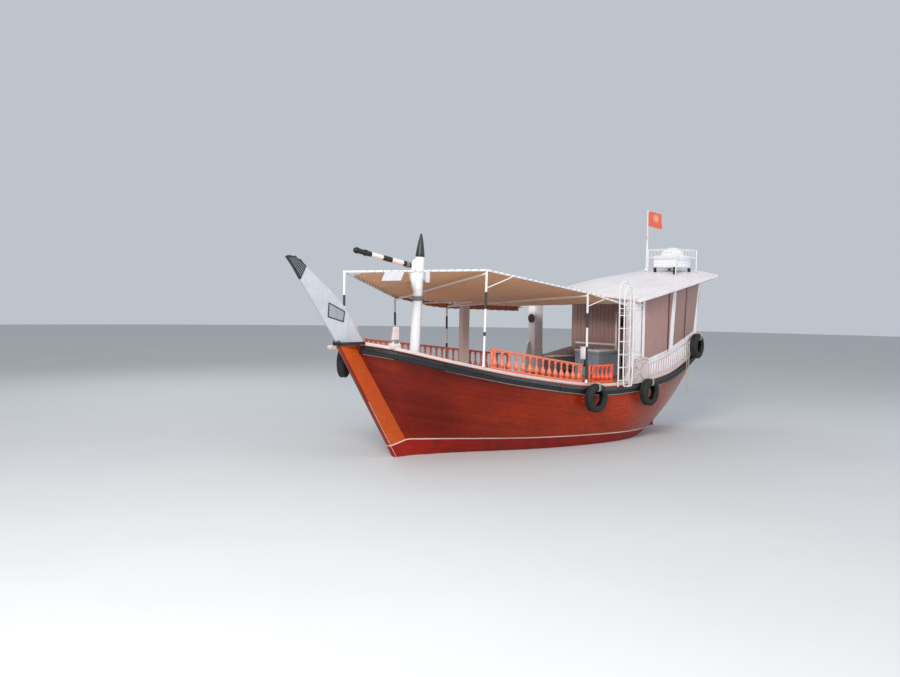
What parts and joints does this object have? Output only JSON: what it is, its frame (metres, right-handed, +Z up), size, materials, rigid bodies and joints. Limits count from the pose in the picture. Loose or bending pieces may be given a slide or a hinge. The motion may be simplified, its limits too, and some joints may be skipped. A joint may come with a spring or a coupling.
{
  "type": "wooden passenger dhow",
  "caption": "Wooden passenger motor dhow: raked stem board, stub mast with striped spar, pipe-framed awning, balustrades and a white-roofed poop cabin.",
  "frame": {"origin": "on the centreline at the waterline, 3.8 m aft of the point where the stem cuts the water", "axes": "+X points to the bow, +Y to port and +Z up; z = 0 is the water's surface"},
  "size_m": [11.74, 4.0542, 6.69],
  "materials": {
    "hull_planking": "varnished red-brown planks, red below the water",
    "keel_timber": "varnished lighter timber",
    "deck_planks": "worn bare planks",
    "dark_rail": "black gloss paint",
    "rose_paint": "pale rose-white paint",
    "white_paint": "white gloss paint",
    "stem_board": "cool white gloss paint",
    "orange_paint": "orange gloss paint",
    "cabin_panel": "faded mauve paint",
    "white_pipe": "white painted steel pipe",
    "canvas": "tan woven canvas",
    "flag_cloth": "plain orange-red cloth with a pale patch",
    "fender_tyre": "weathered dark rubber",
    "engine_iron": "painted casting",
    "casing_paint": "blue-grey paint",
    "bronze": "cast bronze",
    "tank_plastic": "white moulded plastic",
    "rope_fibre": "laid pale rope"
  },
  "bodies": {
    "boat": {"hull": "hull_planking", "backbone": "keel_timber", "main_deck": "deck_planks", "poop_deck": "deck_planks", "foredeck": "deck_planks", "rub_rail_port": "dark_rail", "rub_rail_starboard": "dark_rail", "cap_rail_port": "rose_paint", "cap_rail_starboard": "rose_paint", "stemhead_board": "stem_board", "stemhead_tip": "dark_rail", "bow_timber": "rose_paint", "bollard_port": "rose_paint", "bollard_starboard": "rose_paint", "mast": "white_paint", "mast_top": "dark_rail", "awning_frame": "white_pipe", "awning_canvas": "canvas", "balustrade_port": "orange_paint", "balustrade_starboard": "orange_paint", "gate_post": "orange_paint", "roof": "white_paint", "front_beam": "white_paint", "pillar_port": "white_paint", "pillar_starboard": "white_paint", "poop_bulwark_port": "rose_paint", "poop_bulwark_starboard": "rose_paint", "side_wall_port": "cabin_panel", "side_wall_starboard": "cabin_panel", "stern_wall": "cabin_panel", "cabin_bulkhead": "cabin_panel", "helm_box": "white_paint", "engine": "engine_iron", "engine_casing": "casing_paint", "boxed_post_starboard": "rose_paint", "wing_bracket_port": "white_paint", "wing_bracket_starboard": "white_paint", "boarding_ladder": "white_pipe", "roof_tank": "tank_plastic", "tank_rack": "white_pipe", "flagpole": "white_pipe", "flag": "flag_cloth", "tyre_port_waist": "fender_tyre", "tyre_port_poop": "fender_tyre", "tyre_port_quarter": "fender_tyre", "tyre_starboard_bow": "fender_tyre", "tyre_starboard_waist": "fender_tyre", "tyre_starboard_poop": "fender_tyre", "stern_rope": "rope_fibre"},
    "propeller_body": {"propeller": "bronze"},
    "rudder_body": {"rudder": "keel_timber"},
    "wheel_body": {"steering_wheel": "orange_paint"},
    "gate_body": {"boarding_gate": "orange_paint"},
    "door_body": {"cabin_door": "cabin_panel"},
    "hatch_body": {"engine_hatch": "white_paint"},
    "spar_body": {"spar": "white_paint"}
  },
  "joints": [
    {"name": "propeller_spin", "type": "hinge", "parent": "boat", "child": "propeller_body", "pos_m": [-3.57, 0, -0.58], "axis": [1, 0, 0], "continuous": true},
    {"name": "rudder_swing", "type": "hinge", "parent": "boat", "child": "rudder_body", "pos_m": [-4.379, 0, 0], "axis": [-0.3495, 0, 0.9369], "range_deg": [-35, 35]},
    {"name": "wheel_spin", "type": "hinge", "parent": "boat", "child": "wheel_body", "pos_m": [-2.9, 1.02, 2.15], "axis": [1, 0, 0], "range_deg": [-540, 540]},
    {"name": "gate_swing", "type": "hinge", "parent": "boat", "child": "gate_body", "pos_m": [-0.35, 1.71905, 1.6], "axis": [0, 0, 1], "range_deg": [0, 90]},
    {"name": "door_swing", "type": "hinge", "parent": "boat", "child": "door_body", "pos_m": [-3.384, 0.044, 2.2], "axis": [0, 0, 1], "range_deg": [-90, 0]},
    {"name": "hatch_lift", "type": "hinge", "parent": "boat", "child": "hatch_body", "pos_m": [-3.031, 0, 2.082], "axis": [0, -1, 0], "range_deg": [0, 80]},
    {"name": "spar_topping", "type": "hinge", "parent": "boat", "child": "spar_body", "pos_m": [3.19886, 0, 4.0072], "axis": [0, -1, 0], "range_deg": [-6, 55]}
  ],
  "couplings": [
    {"joint": "rudder_swing", "follows": "wheel_spin", "ratio": 0.0648}
  ]
}
